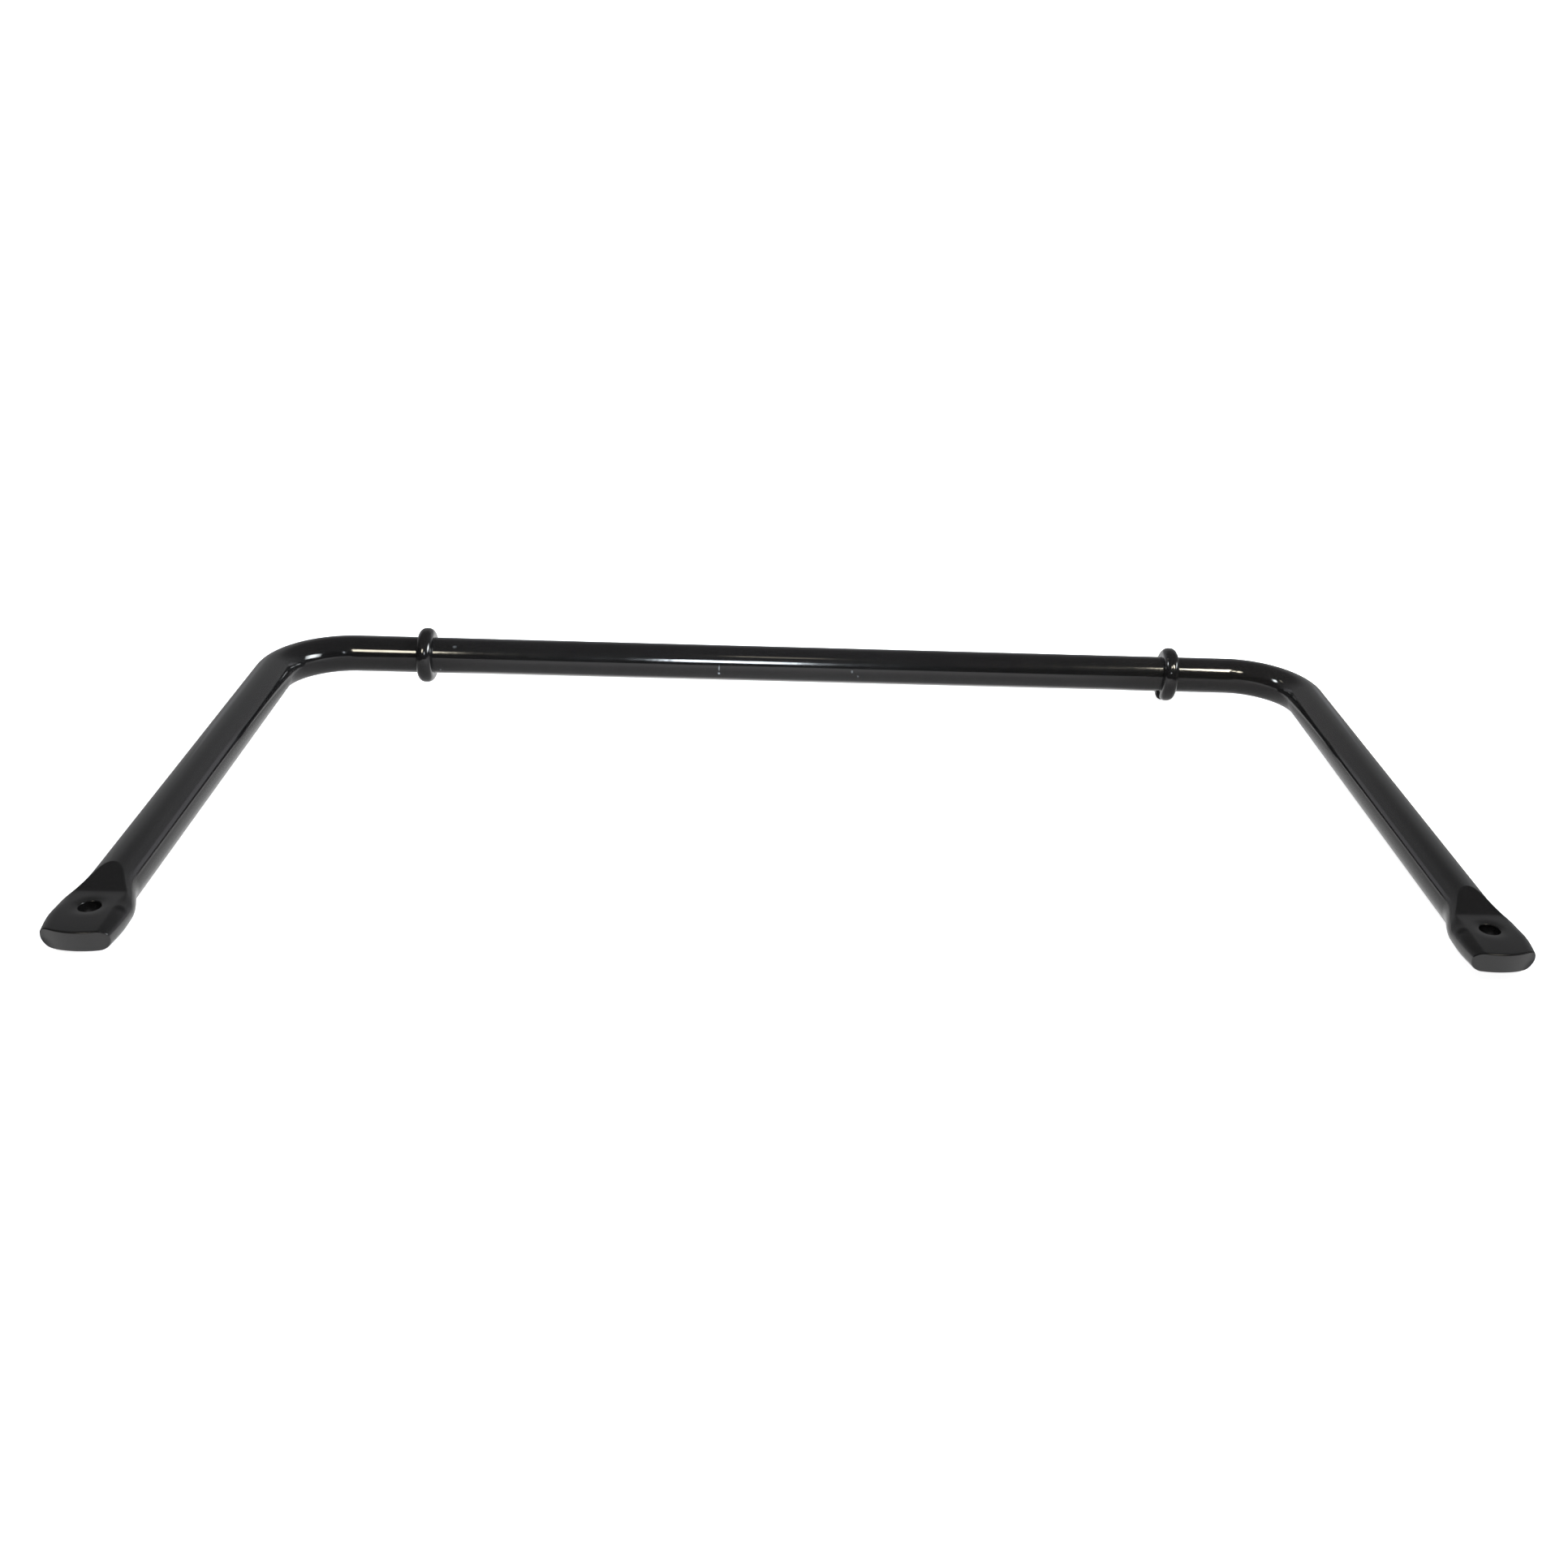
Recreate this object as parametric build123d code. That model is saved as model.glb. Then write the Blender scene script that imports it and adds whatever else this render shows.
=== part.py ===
"""Sway bar: one forged torsion bar with two stop collars.

Frame: the origin is at the middle of the straight section, on its axis.
+X runs along the straight section to the right arm, +Z is square to the plane
of the arms, and both arms run towards -Y. All sizes are in millimetres.
"""

import os

from build123d import *

# Round bar
BAR_DIAMETER = 28.0
ARM_SPACING = 798.0  # between the axes of the two arms
BEND_RADIUS = 53.0  # to the axis of the bar

# Flattened eyes, each place measured along an arm from the straight section's axis
FACET_START = 380.0  # where the slope leaves the round bar
FLARE_START = 384.0  # where the eye's sides leave the round bar
FOLD = 403.0  # where the slope meets the flat face
SHOULDER = 417.0  # where the eye reaches its full width
EYE_HOLE = 419.5
NOSE_CORNER = 443.0
NOSE_TIP = 448.0

EYE_THICKNESS = 14.0
EYE_WIDTH = 43.0
EYE_ROOT_WIDTH = 25.2  # at the start of the flare, inside the round bar
NOSE_WIDTH = 38.6
EYE_HOLE_DIAMETER = 12.2
EYE_HOLE_CHAMFER = 0.6
SHOULDER_RADIUS = 30.0
EYE_EDGE_RADIUS = 3.0  # along the edges of the flat faces
NOSE_CORNER_RADIUS = 3.5

# Stop collars, each a split ring closed round the bar
COLLAR_SPACING = 592.0  # between the middles of the two collars
COLLAR_SHIFT = 2.7  # how far the pair sits towards the right arm
COLLAR_DIAMETER = 42.8
COLLAR_WIDTH = 12.0
COLLAR_CROWN_RADIUS = 5.2
COLLAR_SEAM_GAP = 0.8
COLLAR_SEAM_CHAMFER = 1.2
RIGHT_SEAM_ANGLE = -102.0  # about +X, measured from +Y
LEFT_SEAM_ANGLE = -60.0

BAR_RADIUS = BAR_DIAMETER / 2
ARM_AXIS = ARM_SPACING / 2
ROUND_END = (FOLD + SHOULDER) / 2  # the round stock ends inside the flare


def round_bar():
    """The round stock, bent square at both ends."""
    path = FilletPolyline(
        (-ARM_AXIS, -ROUND_END),
        (-ARM_AXIS, 0),
        (ARM_AXIS, 0),
        (ARM_AXIS, -ROUND_END),
        radius=BEND_RADIUS,
    )
    section = Plane(origin=path @ 0, z_dir=path % 0) * Circle(BAR_RADIUS)
    return sweep(section, path=path)


def eye_blade():
    """The right eye's flat blade, flaring from the bar to a shallow curved nose."""
    root = EYE_ROOT_WIDTH / 2
    half = EYE_WIDTH / 2
    nose_half = NOSE_WIDTH / 2
    side = FilletPolyline(
        (root, -FLARE_START),
        (half, -SHOULDER),
        (nose_half, -NOSE_CORNER),
        radius=SHOULDER_RADIUS,
    )
    nose = ThreePointArc((nose_half, -NOSE_CORNER), (0, -NOSE_TIP), (-nose_half, -NOSE_CORNER))
    root_line = Line((root, -FLARE_START), (-root, -FLARE_START))
    outline = make_face(Curve() + [side, nose, mirror(side, Plane.YZ), root_line])
    blade = extrude(outline, amount=EYE_THICKNESS / 2, both=True)
    nose_corners = blade.edges().filter_by(Axis.Z).group_by(Axis.Y)[0]
    blade = fillet(nose_corners, NOSE_CORNER_RADIUS)
    flat_faces = blade.faces().filter_by(Axis.Z)
    blade = fillet(flat_faces.edges(), EYE_EDGE_RADIUS)
    return Pos(ARM_AXIS, 0, 0) * blade


def forging_waste():
    """What the dies take off one face of the round bar: a slope, then a flat."""
    flat = EYE_THICKNESS / 2
    above = BAR_DIAMETER
    beyond = NOSE_TIP
    side = Polyline(
        (-FACET_START, BAR_RADIUS),
        (-FOLD, flat),
        (-beyond, flat),
        (-beyond, above),
        (-FACET_START, above),
        close=True,
    )
    return Pos(ARM_AXIS, 0, 0) * extrude(Plane.YZ * make_face(side), amount=EYE_WIDTH, both=True)


def eye_hole():
    """The right eye's hole, with a small chamfer at both faces."""
    radius = EYE_HOLE_DIAMETER / 2
    hole = Cylinder(radius, EYE_THICKNESS)
    mouth = Cone(radius, radius + EYE_HOLE_CHAMFER, EYE_HOLE_CHAMFER)
    top_mouth = Pos(0, 0, (EYE_THICKNESS - EYE_HOLE_CHAMFER) / 2) * mouth
    tool = hole + top_mouth + mirror(top_mouth, Plane.XY)
    return Pos(ARM_AXIS, -EYE_HOLE, 0) * tool


def torsion_bar():
    """The whole bar: round stock with a forged eye at the end of each arm."""
    top_waste = forging_waste()
    right_waste = top_waste + mirror(top_waste, Plane.XY)
    bar = round_bar() - right_waste - mirror(right_waste, Plane.YZ)
    right_blade = eye_blade()
    bar = bar + right_blade + mirror(right_blade, Plane.YZ)
    right_hole = eye_hole()
    return bar - right_hole - mirror(right_hole, Plane.YZ)


def stop_collar(position, seam_angle):
    """A ring with a crowned rim, open at a narrow seam with chamfered ends."""
    outer = COLLAR_DIAMETER / 2
    depth = outer - BAR_RADIUS
    section = Pos(0, BAR_RADIUS + depth / 2) * Rectangle(COLLAR_WIDTH, depth)
    rim_corners = section.vertices().group_by(Axis.Y)[-1]
    section = fillet(rim_corners, COLLAR_CROWN_RADIUS)
    ring = revolve(section, Axis.X)
    half_gap = COLLAR_SEAM_GAP / 2
    mouth = half_gap + COLLAR_SEAM_CHAMFER
    gap_outline = Polyline(
        (0, -half_gap),
        (outer - COLLAR_SEAM_CHAMFER, -half_gap),
        (outer, -mouth),
        (outer, mouth),
        (outer - COLLAR_SEAM_CHAMFER, half_gap),
        (0, half_gap),
        close=True,
    )
    gap = extrude(Plane.YZ * make_face(gap_outline), amount=COLLAR_WIDTH, both=True)
    ring = ring - gap
    return Pos(position, 0, 0) * Rot(seam_angle, 0, 0) * ring


def main():
    os.makedirs("parts", exist_ok=True)
    nodes = {
        "torsion_bar": torsion_bar(),
        "left_stop_collar": stop_collar(COLLAR_SHIFT - COLLAR_SPACING / 2, LEFT_SEAM_ANGLE),
        "right_stop_collar": stop_collar(COLLAR_SHIFT + COLLAR_SPACING / 2, RIGHT_SEAM_ANGLE),
    }
    for name, shape in nodes.items():
        shape.label = name
        export_step(shape, f"parts/{name}.step")


main()
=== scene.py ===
"""Looks of the sway bar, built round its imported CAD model.

Everything is in the CAD frame, in metres: the origin is at the middle of the
straight section, +X runs to the right arm and both arms run towards -Y.
Meshes are worked out in millimetres and turned into metres when they are made.
"""

import math

import bmesh
import bpy
import numpy as np
from mathutils import Matrix, Vector


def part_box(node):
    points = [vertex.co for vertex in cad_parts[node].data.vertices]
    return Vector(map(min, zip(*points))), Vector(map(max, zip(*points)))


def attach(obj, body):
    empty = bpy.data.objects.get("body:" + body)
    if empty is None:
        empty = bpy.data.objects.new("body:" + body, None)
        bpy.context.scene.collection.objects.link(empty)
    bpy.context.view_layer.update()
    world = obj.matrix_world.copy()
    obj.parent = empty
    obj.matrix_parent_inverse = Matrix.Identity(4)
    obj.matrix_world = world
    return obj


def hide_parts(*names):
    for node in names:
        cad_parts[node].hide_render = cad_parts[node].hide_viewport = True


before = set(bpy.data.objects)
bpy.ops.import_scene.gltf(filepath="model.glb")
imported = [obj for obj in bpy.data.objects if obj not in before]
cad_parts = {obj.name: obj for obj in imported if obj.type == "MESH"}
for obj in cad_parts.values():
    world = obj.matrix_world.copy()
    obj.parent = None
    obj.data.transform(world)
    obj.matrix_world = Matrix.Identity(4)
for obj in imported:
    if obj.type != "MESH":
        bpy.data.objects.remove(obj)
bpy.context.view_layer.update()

MM = 0.001
WELD_DISTANCE = 1e-6

# ------------------------------------------------------------------ sizes, mm

bar_low, bar_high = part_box("torsion_bar")
BAR_RADIUS = bar_high.z / MM
ARM_AXIS = 399.0
BEND_RADIUS = 53.0
STRAIGHT_END = ARM_AXIS - BEND_RADIUS

# Places along an arm, from the straight section's axis to the nose.
FACET_START = 380.0
FLARE_START = 383.0
FOLD = 403.0
FLARE_END = 416.0
HOLE_PLACE = 419.5
TAPER_START = 420.0
NOSE_TIP = -bar_low.y / MM
NOSE_CORNER = NOSE_TIP - 5.0

EYE_HALF_WIDTH = bar_high.x / MM - ARM_AXIS
EYE_HALF_THICKNESS = 7.0
HOLE_RADIUS = 6.1
HOLE_LIP = 0.9
FOLD_SOFTNESS = 0.45
FACET_EDGE = 0.8
EYE_EDGE = 4.6
NOSE_EDGE = 1.2

# How far the side walls are drawn in at the faces, beside the fold and further on.
FOLD_BARREL = 5.0
EYE_BARREL = 1.6
BARREL_START = FOLD - 3.0
BARREL_END = FOLD + 27.0

# The eye narrows by the taper on each side up to the nose's corner, and the
# nose is furthest out a little inboard of the arm's axis.
NOSE_TAPER = 1.9
NOSE_SKEW = 3.0

# ---------------------------------------------------- ring of the bar's mesh

# Points in a quarter of a ring: up the side, round the corner, along the top.
SIDE = 12
CORNER = 8
TOP = 16
QUARTER = SIDE + CORNER + TOP
RING = 4 * QUARTER

# Towards the facets the round section's points gather at the coming corner.
GATHER_START = 330.0
STEEPEST_CORNER = math.radians(82.0)

# Half the side of the square of faces that makes room for the hole. Its points
# stand a millimetre apart along the arm, so this counts points as well.
HOLE_BLOCK = 10
BLOCK_START = HOLE_PLACE - HOLE_BLOCK
BLOCK_END = HOLE_PLACE + HOLE_BLOCK


def ramp(start, end, value):
    """0 up to start, 1 from end on and straight between, for arrays too."""
    return np.clip((value - start) / (end - start), 0.0, 1.0)


def smoothstep(start, end, value):
    t = ramp(start, end, value)
    return t * t * (3.0 - 2.0 * t)


def mix(a, b, t):
    return a + (b - a) * t


def steps(start, end, count):
    """Evenly spaced values from start on, without the end itself."""
    return [mix(start, end, k / count) for k in range(count)]


def quarter_turn(k, count):
    """The angle after k of the count steps of a quarter turn."""
    return math.pi / 2 * k / count


def ring_quad(j, i, count):
    """The quad between rings j and j + 1, from point i of count to the next."""
    n = (i + 1) % count
    return (j * count + i, j * count + n, (j + 1) * count + n, (j + 1) * count + i)


def face_height(place):
    """Height of the forged faces over the bar's middle plane, along an arm."""
    slope = (BAR_RADIUS - EYE_HALF_THICKNESS) / (FOLD - FACET_START)
    sloped = BAR_RADIUS - (place - FACET_START) * slope
    gap = sloped - EYE_HALF_THICKNESS
    soft = math.sqrt(gap * gap + FOLD_SOFTNESS * FOLD_SOFTNESS)
    return (sloped + EYE_HALF_THICKNESS + soft) / 2.0


def half_width(height, place):
    """Half the width of an arm at a height over its middle plane."""
    round_side = math.sqrt(max(0.0, BAR_RADIUS**2 - height**2))
    swell = mix(FOLD_BARREL, EYE_BARREL, smoothstep(BARREL_START, BARREL_END, place))
    barrel = EYE_HALF_WIDTH - swell * (height / EYE_HALF_THICKNESS) ** 2
    past = max(0.0, place - TAPER_START) / (NOSE_CORNER - TAPER_START)
    barrel -= NOSE_TAPER * past * past
    return mix(round_side, barrel, smoothstep(FLARE_START, FLARE_END, place))


def round_quarter(place):
    """A quarter of the round section, with its points gathered near a facet."""
    gathered = smoothstep(GATHER_START, FACET_START, place)
    even_corner = math.pi / 2 * (SIDE + CORNER / 2) / QUARTER
    even_span = math.pi / 2 * (CORNER / 2) / QUARTER
    corner = mix(even_corner, STEEPEST_CORNER, gathered)
    span = mix(even_span, FACET_EDGE / BAR_RADIUS, gathered)
    side_end = corner - span
    angles = steps(0.0, side_end, SIDE)
    angles += [side_end + 2 * span * k / CORNER for k in range(CORNER)]
    angles += [mix(corner + span, math.pi / 2, k / TOP) for k in range(TOP + 1)]
    ceiling = face_height(place)
    return [(BAR_RADIUS * math.cos(t), min(ceiling, BAR_RADIUS * math.sin(t))) for t in angles]


def forged_quarter(place, height):
    """A quarter of the forged section: side, rounded corner, flat."""
    corner_angle = math.asin(height / BAR_RADIUS)
    edge = mix(FACET_EDGE, EYE_EDGE, smoothstep(FOLD, FLARE_END, place))
    side_end = corner_angle - edge / BAR_RADIUS
    points = []
    for k in range(SIDE):
        z = BAR_RADIUS * math.sin(side_end * k / SIDE)
        points.append((half_width(z, place), z))
    z_end = BAR_RADIUS * math.sin(side_end)
    side_point = (half_width(z_end, place), z_end)
    corner = half_width(height, place)
    flat_start = corner - min(edge, corner / 2)
    for k in range(CORNER):
        t = k / CORNER
        a = rounded(side_point[0], corner, flat_start, t)
        z = rounded(side_point[1], height, height, t)
        points.append((a, z))
    points += [(flat_start * (1 - k / TOP), height) for k in range(TOP + 1)]
    return points


def rounded(start, corner, end, t):
    """One coordinate of a corner rounded by a parabola, at a share t of it."""
    return (1 - t) ** 2 * start + 2 * t * (1 - t) * corner + t * t * end


def section(place):
    """The closed ring at a place along an arm, as (outboard, up) points."""
    height = face_height(place)
    if height >= BAR_RADIUS * math.sin(STEEPEST_CORNER):
        quarter = round_quarter(place)
    else:
        quarter = forged_quarter(place, height)
    upper = quarter + [(-a, z) for a, z in reversed(quarter[:-1])]
    lower = [(a, -z) for a, z in reversed(upper[1:-1])]
    return np.array(upper + lower)


def nose_line(outboard):
    """Where the nose wall stands, by the distance from the arm's axis."""
    share = (outboard + NOSE_SKEW) / EYE_HALF_WIDTH
    return NOSE_CORNER + (NOSE_TIP - NOSE_CORNER) * (1.0 - share**2)


# ----------------------------------------------------------- the bar's mesh

BEND_STEPS = 60
COARSE_STEPS = 61
FINE_STEP = 0.4
FINE_MARGIN = 1.0
WALL_RINGS = 12
EDGE_RINGS = 5
LIP_STEPS = 5
HOLE_WALL_STEPS = 6

# Stretches of the straight section with scuffs, as (middle, half length).
FINE_STRETCHES = ((44.5, 5.0), (63.3, 3.0), (276.0, 10.0))

# Stretches along an arm, as (where it ends, rings in it). The rings stand
# closest where the facet starts and at the fold.
ARM_STRETCHES = (
    (GATHER_START, 45),
    (374.0, 14),
    (379.0, 5),
    (382.0, 12),
    (400.0, 24),
    (404.0, 8),
    (BLOCK_START, 4),
    (BLOCK_END, 2 * HOLE_BLOCK),
)

# Rows between the hole's block and its lip, as shares of the way.
BLOCK_SHARES = (0.3, 0.6, 0.85, 1.0)
LIP_MARGIN = 0.5


def straight_places():
    """Places along the straight section, closer where paint is scuffed."""
    coarse = set(np.linspace(0.0, STRAIGHT_END, COARSE_STEPS + 1)[:-1].tolist())
    fine = set()
    for middle, reach in FINE_STRETCHES:
        fine |= set(np.arange(middle - reach, middle + reach, FINE_STEP).tolist())
        coarse = {x for x in coarse if abs(x - middle) > reach + FINE_MARGIN}
    return sorted(coarse | fine)


def arm_places():
    """Places along an arm where the mesh has a ring, up to the block's end."""
    places = []
    start = BEND_RADIUS
    for end, count in ARM_STRETCHES:
        places += steps(start, end, count)
        start = end
    return places


def bend_rings(plain):
    """Rings round the bend, from the straight section up to the arm."""
    rings = []
    for k in range(BEND_STEPS):
        sine = math.sin(quarter_turn(k, BEND_STEPS))
        cosine = math.cos(quarter_turn(k, BEND_STEPS))
        ring = []
        for a, z in plain:
            reach = BEND_RADIUS + a
            ring.append((STRAIGHT_END + reach * sine, reach * cosine - BEND_RADIUS, z))
        rings.append(ring)
    return rings


def nose_rings():
    """Rings from the block's end on, which take up the nose's curve on the way."""
    rings = []
    for k in range(WALL_RINGS):
        t = k / WALL_RINGS
        ring = []
        for a, z in section(mix(BLOCK_END, NOSE_CORNER, t)):
            end = nose_line(a) - NOSE_EDGE
            ring.append((ARM_AXIS + a, -mix(BLOCK_END, end, t), z))
        rings.append(ring)
    return rings


def nose_edge_rings():
    """Rings over the rounded edge between the eye's outline and its nose wall."""
    rings = []
    outline = section(NOSE_CORNER)
    for k in range(EDGE_RINGS + 1):
        angle = quarter_turn(k, EDGE_RINGS)
        inset = NOSE_EDGE * (1.0 - math.cos(angle))
        in_a = (EYE_HALF_WIDTH - inset) / EYE_HALF_WIDTH
        in_z = (EYE_HALF_THICKNESS - inset) / EYE_HALF_THICKNESS
        ring = []
        for a, z in outline:
            y = -(nose_line(a) - NOSE_EDGE + NOSE_EDGE * math.sin(angle))
            ring.append((ARM_AXIS + a * in_a, y, z * in_z))
        rings.append(ring)
    return rings


def half_bar():
    """Vertices (mm) and faces of the right half of the bar, open at x = 0."""
    plain = section(0.0)
    rings = [[(x, a, z) for a, z in plain] for x in straight_places()]
    rings += bend_rings(plain)
    rings += [[(ARM_AXIS + a, -place, z) for a, z in section(place)] for place in arm_places()]
    hole_first = len(rings) - 2 * HOLE_BLOCK
    rings += nose_rings() + nose_edge_rings()
    vertices = [point for ring in rings for point in ring]
    faces = []
    top_block = range(QUARTER - HOLE_BLOCK, QUARTER + HOLE_BLOCK)
    low_block = range(3 * QUARTER - HOLE_BLOCK, 3 * QUARTER + HOLE_BLOCK)
    for j in range(len(rings) - 1):
        beside_hole = hole_first <= j < hole_first + 2 * HOLE_BLOCK
        for i in range(RING):
            if not (beside_hole and (i in top_block or i in low_block)):
                faces.append(ring_quad(j, i, RING))
    add_nose(vertices, faces, (len(rings) - 1) * RING)
    add_hole(vertices, faces, hole_first)
    return np.array(vertices), faces


def add_nose(vertices, faces, first):
    """Closes the nose with a grid between the last ring's four sides."""
    corner = SIDE + CORNER // 2
    across = 2 * (QUARTER - corner)
    down = 2 * corner
    loop = [first + (corner + k) % RING for k in range(RING)]
    top = loop[: across + 1]
    far = loop[across : across + down + 1]
    low = loop[across + down : 2 * across + down + 1][::-1]
    near = (loop[2 * across + down :] + [loop[0]])[::-1]
    grid = [[None] * (down + 1) for _ in range(across + 1)]
    for i in range(across + 1):
        grid[i][0] = top[i]
        grid[i][down] = low[i]
    for j in range(down + 1):
        grid[0][j] = near[j]
        grid[across][j] = far[j]

    def at(v):
        return np.array(vertices[v])

    corners = [at(v) for v in (top[0], top[-1], low[0], low[-1])]
    to_outline = EYE_HALF_WIDTH / (EYE_HALF_WIDTH - NOSE_EDGE)
    for i in range(1, across):
        s = i / across
        for j in range(1, down):
            t = j / down
            along = mix(at(top[i]), at(low[i]), t)
            aside = mix(at(near[j]), at(far[j]), s)
            both = mix(mix(corners[0], corners[1], s), mix(corners[2], corners[3], s), t)
            x, _, z = along + aside - both
            grid[i][j] = len(vertices)
            vertices.append((x, -nose_line((x - ARM_AXIS) * to_outline), z))
    for i in range(across):
        for j in range(down):
            faces.append((grid[i][j], grid[i + 1][j], grid[i + 1][j + 1], grid[i][j + 1]))


def block_loop(hole_first, middle, turn):
    """The open block's boundary, in order of angle about the hole."""
    span = 2 * HOLE_BLOCK
    outer = middle - turn * HOLE_BLOCK
    inner = middle + turn * HOLE_BLOCK
    loop = [(hole_first + k) * RING + outer for k in range(span)]
    loop += [(hole_first + span) * RING + outer + turn * k for k in range(span)]
    loop += [(hole_first + span - k) * RING + inner for k in range(span)]
    loop += [hole_first * RING + inner - turn * k for k in range(span)]
    return loop


def circle(count, radius, height):
    """Points about the hole, from the block's first corner on."""
    ring = []
    for k in range(count):
        angle = 2 * math.pi * k / count - math.pi / 4
        x = ARM_AXIS + radius * math.cos(angle)
        ring.append((x, -HOLE_PLACE - radius * math.sin(angle), height))
    return ring


def add_hole(vertices, faces, hole_first):
    """The eye's hole: rolled lips on both faces and the wall between them."""
    top = block_loop(hole_first, QUARTER, 1)
    low = block_loop(hole_first, 3 * QUARTER, -1)
    count = len(top)
    lip_radius = HOLE_RADIUS + HOLE_LIP
    rows = [top]

    def add_row(points):
        rows.append(list(range(len(vertices), len(vertices) + count)))
        vertices.extend(points)

    def add_face_row(loop, height, share):
        rim = circle(count, lip_radius + LIP_MARGIN, height)
        add_row([tuple(mix(np.array(vertices[v]), np.array(p), share)) for v, p in zip(loop, rim)])

    def add_lip_row(side, k):
        angle = quarter_turn(k, LIP_STEPS)
        height = EYE_HALF_THICKNESS - HOLE_LIP * (1.0 - math.cos(angle))
        add_row(circle(count, lip_radius - HOLE_LIP * math.sin(angle), side * height))

    for share in BLOCK_SHARES:
        add_face_row(top, EYE_HALF_THICKNESS, share)
    for k in range(LIP_STEPS + 1):
        add_lip_row(1, k)
    wall = EYE_HALF_THICKNESS - HOLE_LIP
    for k in range(1, HOLE_WALL_STEPS):
        add_row(circle(count, HOLE_RADIUS, mix(wall, -wall, k / HOLE_WALL_STEPS)))
    for k in range(LIP_STEPS, -1, -1):
        add_lip_row(-1, k)
    for share in reversed(BLOCK_SHARES):
        add_face_row(low, -EYE_HALF_THICKNESS, share)
    rows.append(low)
    for one, two in zip(rows, rows[1:]):
        for k in range(count):
            n = (k + 1) % count
            faces.append((one[k], one[n], two[n], two[k]))


def whole_bar():
    """Both halves of the bar as one closed mesh."""
    right, faces = half_bar()
    count = len(right)
    left = right * np.array([-1.0, 1.0, 1.0])
    vertices = np.vstack([right, left[RING:]])

    def mirrored(v):
        return v if v < RING else v - RING + count

    faces = faces + [tuple(mirrored(v) for v in reversed(face)) for face in faces]
    return vertices, faces


# --------------------------------------------------- forging and paint marks

# From here on, a point of the mesh lies on an eye.
EYE_START = FOLD - 2.0

# The eyes' faces sink round the hole, and fall away towards the nose.
DISH_DEPTH = 0.45
DISH_REACH = 3.0
FALL_DEPTH = 0.9
FALL_START = 421.0
FALL_POWER = 1.6

# The inboard edge of an eye is bevelled from the hole on, less so underneath.
BEVEL_START = 418.5
BEVEL_RUN = 4.0
BEVEL_EDGE = -14.0
BEVEL_SLOPE = 0.30
BEVEL_DEPTH = 1.2
UNDER_BEVEL = 0.4

# The nose's lower corner is drawn back, the more so the further outboard.
TUCK_DEPTH = 2.5
TUCK_START = 434.0
TUCK_RUN = 8.0
TUCK_INNER = 6.0
TUCK_OUTER = 21.0

# The finish turns from plain to forged over this way each side of the facet's start.
FORGED_BLEND = 4.0

# Raised, paler marks in the paint of the straight section, as (place, angle
# about the bar's axis, half length, half height as an angle, strength).
SCUFF_HEIGHT = 0.3
SCUFFS = (
    (-63.3, 178.0, 1.0, 14.0, 0.5),
    (-63.3, -163.0, 1.2, 5.5, 1.0),
    (42.2, 178.0, 1.4, 8.0, 0.35),
    (47.0, -165.0, 1.2, 6.0, 0.25),
    (-270.1, 130.0, 2.2, 7.0, 0.3),
    (-281.4, -147.0, 1.2, 5.0, 0.3),
)


def forge_eyes(points):
    """Dishes, bevels and rounds the eyes, as hand forging leaves them."""
    x, y, z = points.T.copy()
    place = -y
    outboard = np.abs(x) - ARM_AXIS
    from_hole = np.hypot(outboard, place - HOLE_PLACE) - HOLE_RADIUS
    dish = DISH_DEPTH * np.exp(-((from_hole / DISH_REACH) ** 2))
    fall = FALL_DEPTH * ramp(FALL_START, NOSE_TIP, place) ** FALL_POWER
    bevel = np.clip((BEVEL_EDGE - outboard) * BEVEL_SLOPE, 0.0, BEVEL_DEPTH)
    bevel *= smoothstep(BEVEL_START, BEVEL_START + BEVEL_RUN, place)
    lowered = dish + fall + np.where(z > 0, bevel, UNDER_BEVEL * bevel)
    share = np.clip(np.abs(z) / EYE_HALF_THICKNESS, 0.0, 1.0)
    z -= np.sign(z) * np.where(place > EYE_START, lowered * share**2, 0.0)
    tucked = TUCK_DEPTH * ramp(TUCK_INNER, TUCK_OUTER, outboard) ** 2
    tucked *= ramp(0.0, EYE_HALF_THICKNESS, -z)
    y += tucked * ramp(TUCK_START, TUCK_START + TUCK_RUN, place)
    return np.stack([x, y, z], axis=1)


def scuff_amounts(points):
    """How strongly each point is scuffed, from 0 to 1."""
    x, y, z = points.T
    angle = np.degrees(np.arctan2(z, y))
    amounts = np.zeros(len(points))
    for mark_place, mark_angle, length, height, strength in SCUFFS:
        turn = (angle - mark_angle + 180.0) % 360.0 - 180.0
        far = np.minimum(np.hypot((x - mark_place) / length, turn / height), 1.0)
        amounts = np.maximum(amounts, strength * (0.5 + 0.5 * np.cos(np.pi * far)))
    return amounts


def raise_scuffs(points):
    """Lifts the scuffed points off the bar's axis."""
    radius = np.hypot(points[:, 1], points[:, 2])
    scale = 1.0 + SCUFF_HEIGHT * scuff_amounts(points) / radius
    return points * np.stack([np.ones(len(points)), scale, scale], axis=1)


def store_on_points(piece, name, values):
    attribute = piece.data.attributes.new(name, "FLOAT", "POINT")
    attribute.data.foreach_set("value", values.tolist())


def mark_finish(piece):
    """Stores how forged and how scuffed each point is, for the paint's looks."""
    points = np.array([vertex.co for vertex in piece.data.vertices]) / MM
    forged = smoothstep(FACET_START - FORGED_BLEND, FACET_START + FORGED_BLEND, -points[:, 1])
    store_on_points(piece, "forged", forged)
    store_on_points(piece, "scuffs", scuff_amounts(points))


def add_object(name, data):
    """Puts a mesh, a light or a camera into the scene as an object."""
    made = bpy.data.objects.new(name, data)
    bpy.context.scene.collection.objects.link(made)
    return made


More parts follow.
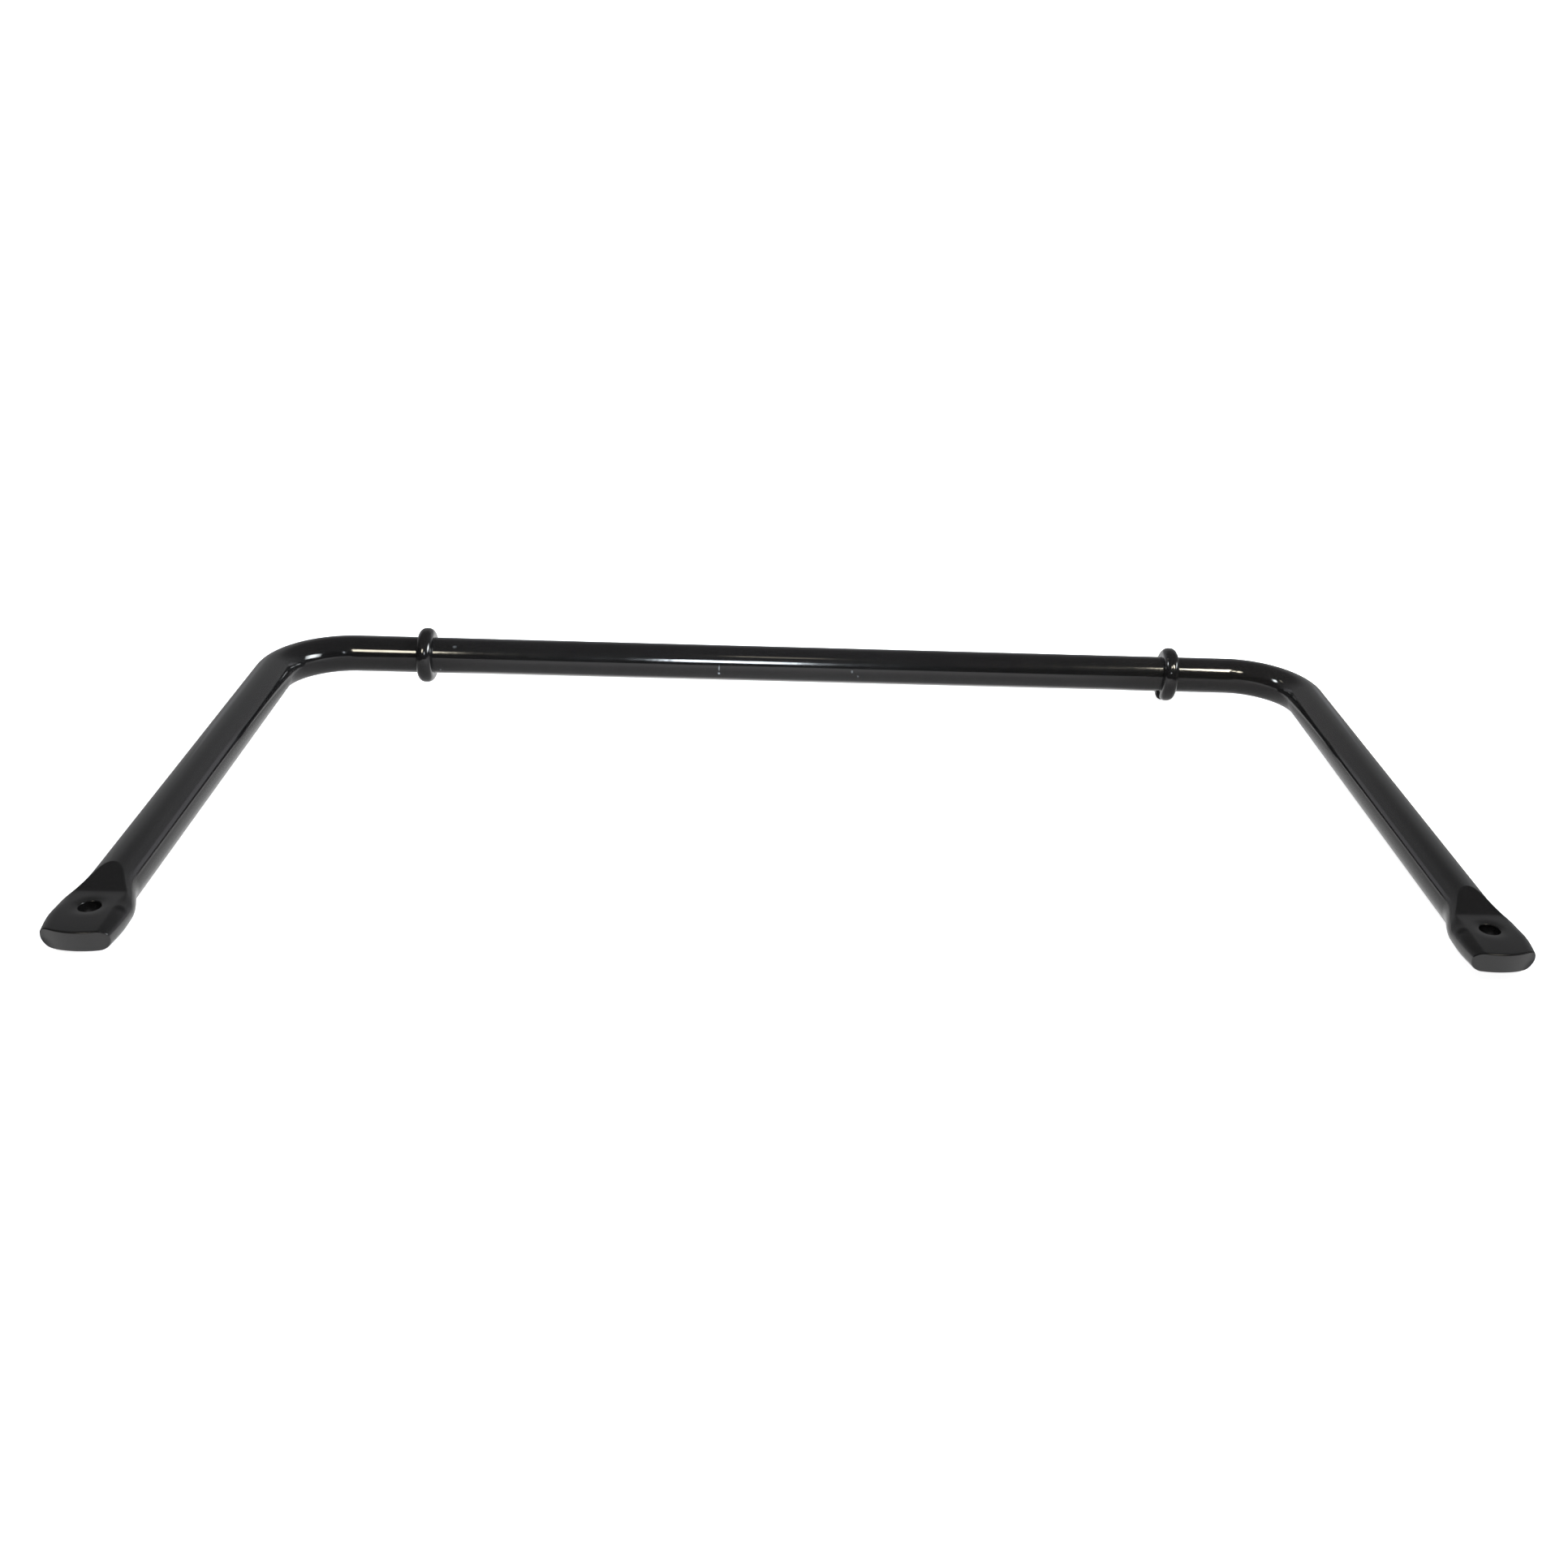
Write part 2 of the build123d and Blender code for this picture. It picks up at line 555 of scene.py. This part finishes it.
def make_mesh(name, points, faces):
    """A smooth mesh object from points in millimetres."""
    mesh = bpy.data.meshes.new(name)
    mesh.from_pydata((np.asarray(points) * MM).tolist(), [], faces)
    work = bmesh.new()
    work.from_mesh(mesh)
    bmesh.ops.remove_doubles(work, verts=work.verts, dist=WELD_DISTANCE)
    bmesh.ops.recalc_face_normals(work, faces=work.faces)
    for face in work.faces:
        face.smooth = True
    work.to_mesh(mesh)
    work.free()
    piece = add_object(name, mesh)
    weighted = piece.modifiers.new("weighted_normals", "WEIGHTED_NORMAL")
    weighted.keep_sharp = True
    return piece


# ------------------------------------------------------------------- collars

COLLAR_STEPS = 144
COLLAR_CROWN = 5.2
CROWN_STEPS = 9
CROWN_FLAT = 0.6
BORE_SINK = 0.05
BORE_STEPS = 4
SIDE_MARGIN = 0.1
RIM_MARGIN = 0.05
SEAM_HALF_GAP = 0.4

# Paint gathered in the corner against the bar, as (past the collar's side,
# over its bore).
PAINT_CORNER = ((0.5, 0.0), (0.175, 0.22), (0.0, 0.7), (0.0, 2.0))

# Rounding of the ends at the seam, as (way from the end, inset of the sides).
END_ROUNDING = ((0.0, 0.75), (0.15, 0.4), (0.45, 0.17), (0.95, 0.04), (1.6, 0.0))
END_LENGTH = 2.2

# The rim's inset at the ends, for each millimetre of the sides' inset.
RIM_INSET = 1.6

# The share of the turn, at each end, over which the end is pushed sideways.
SHIFTED_SHARE = 0.18


def collar_profile(half, outer):
    """Half-round rim with paint gathered in the corners against the bar."""
    inner = BAR_RADIUS - BORE_SINK
    points = [(half + past, inner + over) for past, over in PAINT_CORNER]
    for k in range(CROWN_STEPS + 1):
        angle = quarter_turn(k, CROWN_STEPS)
        x = half - COLLAR_CROWN * (1.0 - math.cos(angle))
        points.append((x, outer - COLLAR_CROWN * (1.0 - math.sin(angle))))
    points.append((half - COLLAR_CROWN - CROWN_FLAT, outer))
    mirrored = [(-x, r) for x, r in reversed(points)]
    bore = [(mix(-half, half, k / BORE_STEPS), inner) for k in range(BORE_STEPS + 1)]
    return points + mirrored + bore


def collar_stations(start, end, outer):
    """Angles round a collar from end to end, each with its sides' inset."""
    stations = [(start + way / outer, inset) for way, inset in END_ROUNDING]
    first = start + END_LENGTH / outer
    last = end - END_LENGTH / outer
    stations += [(mix(first, last, k / COLLAR_STEPS), 0.0) for k in range(COLLAR_STEPS + 1)]
    stations += [(end - way / outer, inset) for way, inset in reversed(END_ROUNDING)]
    return stations


def collar(name, seam_angle, end_shift, lean):
    """A split collar, its ends pushed apart sideways and its ring leaning."""
    low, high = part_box(name)
    middle = (low.x + high.x) / 2 / MM
    half = (high.x - low.x) / 2 / MM - SIDE_MARGIN
    outer = max(high.y - low.y, high.z - low.z) / 2 / MM - RIM_MARGIN
    rim_middle = (BAR_RADIUS + outer) / 2
    gap = SEAM_HALF_GAP / outer
    start = math.radians(seam_angle) + gap
    end = math.radians(seam_angle) + 2 * math.pi - gap
    profile = collar_profile(half, outer)
    stations = collar_stations(start, end, outer)
    points = []
    for angle, inset in stations:
        turn = (angle - start) / (end - start)
        near_start = 1.0 - smoothstep(0.0, SHIFTED_SHARE, turn)
        near_end = smoothstep(1.0 - SHIFTED_SHARE, 1.0, turn)
        shift = end_shift * (near_end - near_start)
        narrowed = 1.0 - inset / half
        thinned = 1.0 - inset / (outer - BAR_RADIUS) * RIM_INSET
        for x, r in profile:
            if r > BAR_RADIUS:
                r = rim_middle + (r - rim_middle) * thinned
            z = r * math.sin(angle)
            points.append((middle + x * narrowed + shift + lean * z, r * math.cos(angle), z))
    count = len(profile)
    faces = [ring_quad(j, i, count) for j in range(len(stations) - 1) for i in range(count)]
    faces.append(tuple(range(count)))
    faces.append(tuple(range(len(points) - count, len(points))))
    piece = make_mesh(name + "_painted", points, faces)
    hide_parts(name)
    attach(piece, "root")
    return piece


# ----------------------------------------------------------- material helpers

# A Mix node's two inputs and its output, by its data type.
MIX_SOCKETS = {"FLOAT": (2, 3, 0), "RGBA": (6, 7, 2)}


def node(tree, kind, **values):
    made = tree.nodes.new(kind)
    for key, value in values.items():
        setattr(made, key, value)
    return made


def feed(tree, socket, value):
    """Links another socket to this one, or sets it to a constant."""
    if isinstance(value, bpy.types.NodeSocket):
        tree.links.new(value, socket)
    else:
        socket.default_value = value


def noise(tree, vector, scale, detail, roughness):
    made = node(tree, "ShaderNodeTexNoise")
    feed(tree, made.inputs["Vector"], vector)
    feed(tree, made.inputs["Scale"], scale)
    feed(tree, made.inputs["Detail"], detail)
    feed(tree, made.inputs["Roughness"], roughness)
    return made.outputs["Fac"]


def remap(tree, value, low, high, to_low, to_high, interpolation="LINEAR"):
    """Takes the range from low to high onto the other range, held at its ends."""
    made = node(tree, "ShaderNodeMapRange", interpolation_type=interpolation)
    feed(tree, made.inputs["Value"], value)
    feed(tree, made.inputs["From Min"], low)
    feed(tree, made.inputs["From Max"], high)
    feed(tree, made.inputs["To Min"], to_low)
    feed(tree, made.inputs["To Max"], to_high)
    return made.outputs["Result"]


def smooth_remap(tree, value, low, high, to_low, to_high):
    return remap(tree, value, low, high, to_low, to_high, "SMOOTHSTEP")


def combine(tree, operation, first, *others):
    """Adds, multiplies or compares any number of values, two at a time."""
    result = first
    for other in others:
        made = node(tree, "ShaderNodeMath", operation=operation)
        feed(tree, made.inputs[0], result)
        feed(tree, made.inputs[1], other)
        result = made.outputs["Value"]
    return result


def mix_values(tree, kind, factor, one, two):
    made = node(tree, "ShaderNodeMix", data_type=kind)
    first, second, result = MIX_SOCKETS[kind]
    feed(tree, made.inputs["Factor"], factor)
    feed(tree, made.inputs[first], one)
    feed(tree, made.inputs[second], two)
    return made.outputs[result]


def bump(tree, height, distance):
    made = node(tree, "ShaderNodeBump")
    feed(tree, made.inputs["Strength"], 1.0)
    feed(tree, made.inputs["Distance"], distance)
    feed(tree, made.inputs["Height"], height)
    return made


# ----------------------------------------------------------------- the paint

PAINT_IOR = 1.5
PAINT_BLACK = (0.0045, 0.0045, 0.0050, 1.0)
CLOUDED_BLACK = (0.0085, 0.0083, 0.0084, 1.0)
DUST_GREY = (0.020, 0.020, 0.021, 1.0)
SCUFF_GREY = (0.30, 0.33, 0.36, 1.0)
PAINT_ROUGHNESS = 0.10
ROUGHNESS_HAZE = 0.03
FORGED_ROUGHNESS = 0.12
BAR_PEEL = 0.000018
COLLAR_PEEL = 0.00002
GRAIN_DEPTH = 0.000009
PLAIN_GRAIN = 0.02

# The noises, each as (scale, detail, roughness).
CLOUDS = (45.0, 3.0, 0.5)
HAZE = (120.0, 4.0, 0.5)
SPECKLE = (900.0, 2.0, 0.5)
PEEL = (260.0, 1.0, 0.4)
GRAIN = (1100.0, 3.0, 0.6)

# The part of a noise's range that is used, and for dust the shares it gives.
HAZE_RANGE = (0.3, 0.7)
DUST_RANGE = (0.70, 0.82, 0.0, 0.4)


def paint_colour(tree, place):
    """Clouded black with a little dust, and grey where it is scuffed."""
    clouded = mix_values(tree, "RGBA", noise(tree, place, *CLOUDS), PAINT_BLACK, CLOUDED_BLACK)
    dust = remap(tree, noise(tree, place, *SPECKLE), *DUST_RANGE)
    dusty = mix_values(tree, "RGBA", dust, clouded, DUST_GREY)
    scuffs = node(tree, "ShaderNodeAttribute", attribute_name="scuffs").outputs["Fac"]
    return mix_values(tree, "RGBA", scuffs, dusty, SCUFF_GREY)


def black_paint(name, peel_depth):
    """Gloss black paint over steel: orange peel, and grain where it is forged."""
    material = bpy.data.materials.new(name)
    material.use_nodes = True
    tree = material.node_tree
    shader = tree.nodes["Principled BSDF"]
    place = node(tree, "ShaderNodeTexCoord").outputs["Object"]
    forged = node(tree, "ShaderNodeAttribute", attribute_name="forged").outputs["Fac"]
    feed(tree, shader.inputs["IOR"], PAINT_IOR)
    feed(tree, shader.inputs["Base Color"], paint_colour(tree, place))

    least = PAINT_ROUGHNESS - ROUGHNESS_HAZE
    most = PAINT_ROUGHNESS + ROUGHNESS_HAZE
    hazy = remap(tree, noise(tree, place, *HAZE), *HAZE_RANGE, least, most)
    duller = combine(tree, "MULTIPLY", forged, FORGED_ROUGHNESS)
    feed(tree, shader.inputs["Roughness"], combine(tree, "ADD", hazy, duller))

    share = combine(tree, "ADD", forged, PLAIN_GRAIN)
    grain_height = combine(tree, "MULTIPLY", noise(tree, place, *GRAIN), share)
    peel = bump(tree, noise(tree, place, *PEEL), peel_depth)
    grain = bump(tree, grain_height, GRAIN_DEPTH)
    feed(tree, grain.inputs["Normal"], peel.outputs["Normal"])
    feed(tree, shader.inputs["Normal"], grain.outputs["Normal"])
    return material


# -------------------------------------------------------------------- pieces

points, faces = whole_bar()
bar = make_mesh("painted_torsion_bar", raise_scuffs(forge_eyes(points)), faces)
mark_finish(bar)
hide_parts("torsion_bar")
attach(bar, "root")
bar.data.materials.append(black_paint("gloss_black_bar_paint", BAR_PEEL))

# Each collar's node, its seam's angle, its ends' sideways shift and its lean.
COLLARS = (("left_stop_collar", -60.0, 0.4, 0.02), ("right_stop_collar", -102.0, 0.9, 0.045))
collar_paint = black_paint("gloss_black_collar_paint", COLLAR_PEEL)
for collar_name, seam, shift, lean in COLLARS:
    ring_piece = collar(collar_name, seam, shift, lean)
    ring_piece.data.materials.append(collar_paint)

# --------------------------------------------------------------------- stage

# The floor lies just under the collars and meets the arms where the facets start.
FLOOR_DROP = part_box("right_stop_collar")[1].z + 0.0001
FLOOR_TILT = math.atan((FLOOR_DROP - BAR_RADIUS * MM) / (FACET_START * MM))
FLOOR_REACH = 60.0
FLOOR_COLOUR = (0.80, 0.81, 0.84, 1.0)
FLOOR_GLOW = 0.93
TABLE_DROP = FLOOR_DROP + 0.0002
TABLE_DIM = 0.30
BACKDROP_RADIUS = 30.0
BACKDROP_GLOW = 1.2

# Where the table is bright in the paint, each as (from, to, level at from,
# level at to). ACROSS is the distance from the middle, ALONG is along y.
MIDDLE_ACROSS = (0.22, 0.31, 1.0, 0.45)
BESIDE_ARMS_ACROSS = (0.335, 0.365, 0.0, 0.10)
BY_EYES_ACROSS = (0.30, 0.34, 0.0, 1.0)
BY_EYES_ALONG = (-0.42, -0.34, 0.7, 0.0)
INSIDE_ARMS_ACROSS = (0.385, 0.40, 1.0, 0.0)
# The glow dims towards the bar: a painted shadow of the bar in the mirrored table.
OFF_THE_BAR_ALONG = (-0.12, -0.01, 1.0, 0.40)
BETWEEN_ARMS_LEVEL = 0.86
BEHIND_ALONG = (-0.014, -0.002, 0.0, 0.75)
STRIP_ALONG = (0.008, 0.03, 1.3, 0.0)
STRIP_ACROSS = (0.25, 0.285, 1.0, 0.0)
INSIDE_BENDS_ACROSS = (0.31, 0.42, 1.0, 0.0)
FAR_OFF_ALONG = (-2.5, -0.9, 0.55, 1.0)
BEFORE_NOSES_ALONG = (-0.455, -0.44, 1.04, 0.0)

# The world's brightness towards the front and back by the direction's y, and
# its overhead share by the direction's z, both in the same form as above.
BACK_GLOW = (-0.1, 0.7, 0.035, 0.37)
OVERHEAD_SHARE = (0.42, 0.68, 0.0, 1.0)
OVERHEAD_GLOW = 0.175
WORLD_COLOUR = (0.98, 0.99, 1.0, 1.0)


def emission(tree, strength):
    """White light of a strength that is a number or a socket."""
    made = node(tree, "ShaderNodeEmission")
    feed(tree, made.inputs["Color"], (1.0, 1.0, 1.0, 1.0))
    feed(tree, made.inputs["Strength"], strength)
    return made.outputs["Emission"]


def new_stage_material(name):
    """An empty material, with its node tree and its surface socket."""
    material = bpy.data.materials.new(name)
    material.use_nodes = True
    tree = material.node_tree
    tree.nodes.clear()
    return material, tree, node(tree, "ShaderNodeOutputMaterial").inputs["Surface"]


def stage_sheet(name, drop, material):
    """A very large flat sheet under the object, tilted as the object rests."""
    mesh = bpy.data.meshes.new(name)
    r = FLOOR_REACH
    mesh.from_pydata([(-r, -r, 0), (r, -r, 0), (r, r, 0), (-r, r, 0)], [], [(0, 1, 2, 3)])
    mesh.materials.append(material)
    sheet = add_object(name, mesh)
    sheet.location = (0.0, 0.0, -drop)
    sheet.rotation_euler = (-FLOOR_TILT, 0.0, 0.0)
    return sheet


def floor_material():
    """A pale floor that glows, so that only a faint shadow shows on it."""
    material, tree, surface = new_stage_material("pale_floor")
    diffuse = node(tree, "ShaderNodeBsdfDiffuse")
    feed(tree, diffuse.inputs["Color"], FLOOR_COLOUR)
    both = node(tree, "ShaderNodeAddShader")
    feed(tree, both.inputs[0], diffuse.outputs["BSDF"])
    feed(tree, both.inputs[1], emission(tree, FLOOR_GLOW))
    feed(tree, surface, both.outputs["Shader"])
    return material


def light_between_arms(tree, across, y):
    """The table in front of the bar, between the arms, as the paint mirrors it."""
    middle = smooth_remap(tree, across, *MIDDLE_ACROSS)
    beside_arms = smooth_remap(tree, across, *BESIDE_ARMS_ACROSS)
    by_eyes_across = smooth_remap(tree, across, *BY_EYES_ACROSS)
    by_eyes_along = smooth_remap(tree, y, *BY_EYES_ALONG)
    by_eyes = combine(tree, "MULTIPLY", by_eyes_along, by_eyes_across)
    level = combine(tree, "ADD", middle, beside_arms, by_eyes)
    inside_arms = smooth_remap(tree, across, *INSIDE_ARMS_ACROSS)
    off_the_bar = smooth_remap(tree, y, *OFF_THE_BAR_ALONG)
    return combine(tree, "MULTIPLY", level, inside_arms, off_the_bar, BETWEEN_ARMS_LEVEL)


def light_behind_bar(tree, across, y):
    """The table behind the bar, brightest in a strip close to the middle."""
    behind = smooth_remap(tree, y, *BEHIND_ALONG)
    strip_along = smooth_remap(tree, y, *STRIP_ALONG)
    strip_across = smooth_remap(tree, across, *STRIP_ACROSS)
    strip = combine(tree, "MULTIPLY", behind, strip_along, strip_across)
    inside_bends = smooth_remap(tree, across, *INSIDE_BENDS_ACROSS)
    return combine(tree, "MULTIPLY", combine(tree, "ADD", behind, strip), inside_bends)


def table_light_material():
    """How bright the table looks in the paint: bright in front, dim elsewhere."""
    material, tree, surface = new_stage_material("table_light")
    split = node(tree, "ShaderNodeSeparateXYZ")
    feed(tree, split.inputs["Vector"], node(tree, "ShaderNodeTexCoord").outputs["Object"])
    absolute = node(tree, "ShaderNodeMath", operation="ABSOLUTE")
    feed(tree, absolute.inputs[0], split.outputs["X"])
    across = absolute.outputs["Value"]
    y = split.outputs["Y"]
    far_off = smooth_remap(tree, y, *FAR_OFF_ALONG)
    between = combine(tree, "MULTIPLY", light_between_arms(tree, across, y), far_off)
    noses = combine(tree, "MULTIPLY", smooth_remap(tree, y, *BEFORE_NOSES_ALONG), far_off)
    lit = combine(tree, "MAXIMUM", between, light_behind_bar(tree, across, y), noses)
    feed(tree, surface, emission(tree, combine(tree, "ADD", lit, TABLE_DIM)))
    return material


def make_floor():
    """The floor that the camera sees, and the table as the paint mirrors it."""
    floor = stage_sheet("floor", FLOOR_DROP, floor_material())
    floor.visible_glossy = False
    table = stage_sheet("table_light", TABLE_DROP, table_light_material())
    table.visible_camera = False
    table.visible_diffuse = False
    table.visible_shadow = False


def make_backdrop():
    """A plain pale shell that only the camera sees, behind everything."""
    mesh = bpy.data.meshes.new("backdrop")
    work = bmesh.new()
    bmesh.ops.create_icosphere(work, subdivisions=4, radius=BACKDROP_RADIUS)
    work.to_mesh(mesh)
    work.free()
    material, tree, surface = new_stage_material("pale_backdrop")
    feed(tree, surface, emission(tree, BACKDROP_GLOW))
    mesh.materials.append(material)
    shell = add_object("backdrop", mesh)
    shell.visible_glossy = False
    shell.visible_diffuse = False
    shell.visible_transmission = False
    shell.visible_shadow = False


def make_world():
    """A studio's dim ceiling, brighter towards the back wall."""
    world = bpy.data.worlds.new("studio")
    bpy.context.scene.world = world
    world.use_nodes = True
    tree = world.node_tree
    background = tree.nodes["Background"]
    split = node(tree, "ShaderNodeSeparateXYZ")
    feed(tree, split.inputs["Vector"], node(tree, "ShaderNodeTexCoord").outputs["Generated"])
    back = smooth_remap(tree, split.outputs["Y"], *BACK_GLOW)
    overhead = smooth_remap(tree, split.outputs["Z"], *OVERHEAD_SHARE)
    level = mix_values(tree, "FLOAT", overhead, back, OVERHEAD_GLOW)
    feed(tree, background.inputs["Strength"], level)
    feed(tree, background.inputs["Color"], WORLD_COLOUR)


# --------------------------------------------------------------------- lamps

BLUISH = (0.86, 0.93, 1.0)
WARM = (1.0, 0.93, 0.76)
COOL = (0.93, 0.98, 1.0)
DUSK = (0.92, 0.90, 1.0)
CEILING_WHITE = (0.97, 0.98, 1.0)

CENTRE = (0.0, 0.0, 0.0)
LEFT_BEND = (-0.374, -0.026, 0.006)
RIGHT_BEND = (0.379, -0.030, 0.008)
LEFT_COLLAR = (-0.240, 0.0, 0.01)
RIGHT_COLLAR = (0.242, 0.0, 0.01)
LEFT_EYE = (-0.383, -0.430, 0.0045)
RIGHT_EYE = (0.389, -0.446, 0.0045)
LEFT_ARM = (-0.39, -0.28, 0.0)
RIGHT_ARM = (0.39, -0.28, 0.0)
RIGHT_JOIN = (0.384, -0.012, 0.008)
RIGHT_TAIL = (0.42, -0.012, 0.008)
OPEN_SPREAD = 180.0

# Each lamp's name, place, target, size, radiance, colour and spread. A lamp
# shows only in the paint inside its narrow cone.
LAMPS = (
    # Streaks along the straight section.
    ("middle_lamp", (-0.075, -1.20, 0.60), (-0.03, 0.0, 0.0), (0.20, 0.33), 64.0, BLUISH, 26.0),
    ("left_lamp", (-0.614, -1.04, 0.78), (-0.318, 0.0, 0.0), (0.16, 0.32), 32.0, WARM, 36.0),
    ("right_lamp", (0.732, -0.74, 1.03), (0.351, 0.0, 0.0), (0.16, 0.36), 60.0, WARM, 40.0),
    ("high_lamp", (0.0, -0.70, 1.40), CENTRE, (0.16, 0.24), 3.4, WARM, 24.0),
    # Spots on the bends, each from the far side.
    ("right_side_lamp", (0.77, -0.26, 0.52), LEFT_BEND, (0.80, 0.38), 34.0, COOL, 42.0),
    ("left_side_lamp", (-0.605, 0.054, 0.69), RIGHT_BEND, (0.22, 0.30), 38.0, COOL, 16.0),
    ("left_back_lamp", (-0.46, 0.37, 0.77), RIGHT_BEND, (0.10, 0.16), 4.0, WARM, 40.0),
    # Glints on the eyes and the collars.
    ("right_eye_lamp", (0.88, -1.00, 0.95), RIGHT_EYE, (0.06, 0.06), 40.0, COOL, 16.0),
    ("left_eye_lamp", (0.20, -0.70, 1.02), LEFT_EYE, (0.06, 0.06), 20.0, COOL, 16.0),
    ("left_collar_lamp", (-0.16, -1.20, 0.60), LEFT_COLLAR, (0.08, 0.14), 150.0, COOL, 6.0),
    ("right_collar_lamp", (0.16, -1.20, 0.60), RIGHT_COLLAR, (0.08, 0.14), 150.0, COOL, 6.0),
    # The right streak's run into its bend.
    ("right_join_lamp", (0.53, -0.74, 0.97), RIGHT_JOIN, (0.16, 0.30), 50.0, WARM, 8.0),
    ("right_tail_lamp", (0.38, -0.74, 0.94), RIGHT_TAIL, (0.34, 0.30), 50.0, WARM, 13.0),
    # Low, dim light from behind along the arms.
    ("right_wall_lamp", (0.42, 0.62, 0.17), LEFT_ARM, (0.70, 0.22), 0.6, DUSK, 44.0),
    ("left_wall_lamp", (-0.46, 0.62, 0.17), RIGHT_ARM, (0.70, 0.22), 0.6, DUSK, 44.0),
)


def lamp(name, place, target, size, radiance, colour, spread):
    """A soft box of a given radiance facing the target, with a grid if narrow."""
    light = bpy.data.lights.new(name, "AREA")
    light.shape = "RECTANGLE"
    light.size, light.size_y = size
    light.energy = radiance * size[0] * size[1] * math.pi
    if spread < OPEN_SPREAD:
        half = math.radians(spread / 2)
        light.spread = 2 * half
        light.energy *= 1.0 - half / math.tan(half)
    light.color = colour
    made = add_object(name, light)
    made.location = place
    made.rotation_mode = "QUATERNION"
    made.rotation_quaternion = (Vector(target) - Vector(place)).to_track_quat("-Z", "Y")
    made.visible_camera = False
    return made


make_floor()
make_backdrop()
make_world()
for settings in LAMPS:
    lamp(*settings)
fill_place = (0.0, 0.6, 2.4)
fill_target = (0.0, -0.2, 0.0)
fill = lamp("ceiling_fill", fill_place, fill_target, (2.4, 1.8), 2.4, CEILING_WHITE, OPEN_SPREAD)
fill.visible_glossy = False

# -------------------------------------------------------------------- camera

YAW = math.radians(3.9652)
PITCH = math.radians(25.0)
ROLL = math.radians(2.9245)
AIM = Vector((0.04545, -0.157689, -0.031103))
DISTANCE = 1.197583
SENSOR_WIDTH = 36.0
FOCAL_LENGTH = 37.938
SHIFT_X = -0.05037
SHIFT_Y = 0.00032
CLIP_START = 0.05
CLIP_END = 200.0


def make_camera():
    """The camera at its distance from the aim, turned by yaw, pitch and roll."""
    level = math.cos(PITCH)
    forward = Vector((math.sin(YAW) * level, math.cos(YAW) * level, -math.sin(PITCH)))
    level_right = Vector((math.cos(YAW), -math.sin(YAW), 0.0))
    level_up = level_right.cross(forward)
    right = math.cos(ROLL) * level_right + math.sin(ROLL) * level_up
    upward = -math.sin(ROLL) * level_right + math.cos(ROLL) * level_up
    lens = bpy.data.cameras.new("camera")
    lens.sensor_width = SENSOR_WIDTH
    lens.lens = FOCAL_LENGTH
    lens.shift_x = SHIFT_X
    lens.shift_y = SHIFT_Y
    lens.clip_start = CLIP_START
    lens.clip_end = CLIP_END
    camera = add_object("camera", lens)
    turned = Matrix((right, upward, -forward)).transposed()
    camera.matrix_world = Matrix.Translation(AIM - DISTANCE * forward) @ turned.to_4x4()
    bpy.context.scene.camera = camera


make_camera()
bpy.context.scene.view_settings.view_transform = "Standard"
bpy.context.scene.view_settings.look = "None"

# ---------------------------------------------------------------------- view layer

bpy.context.view_layer.update()
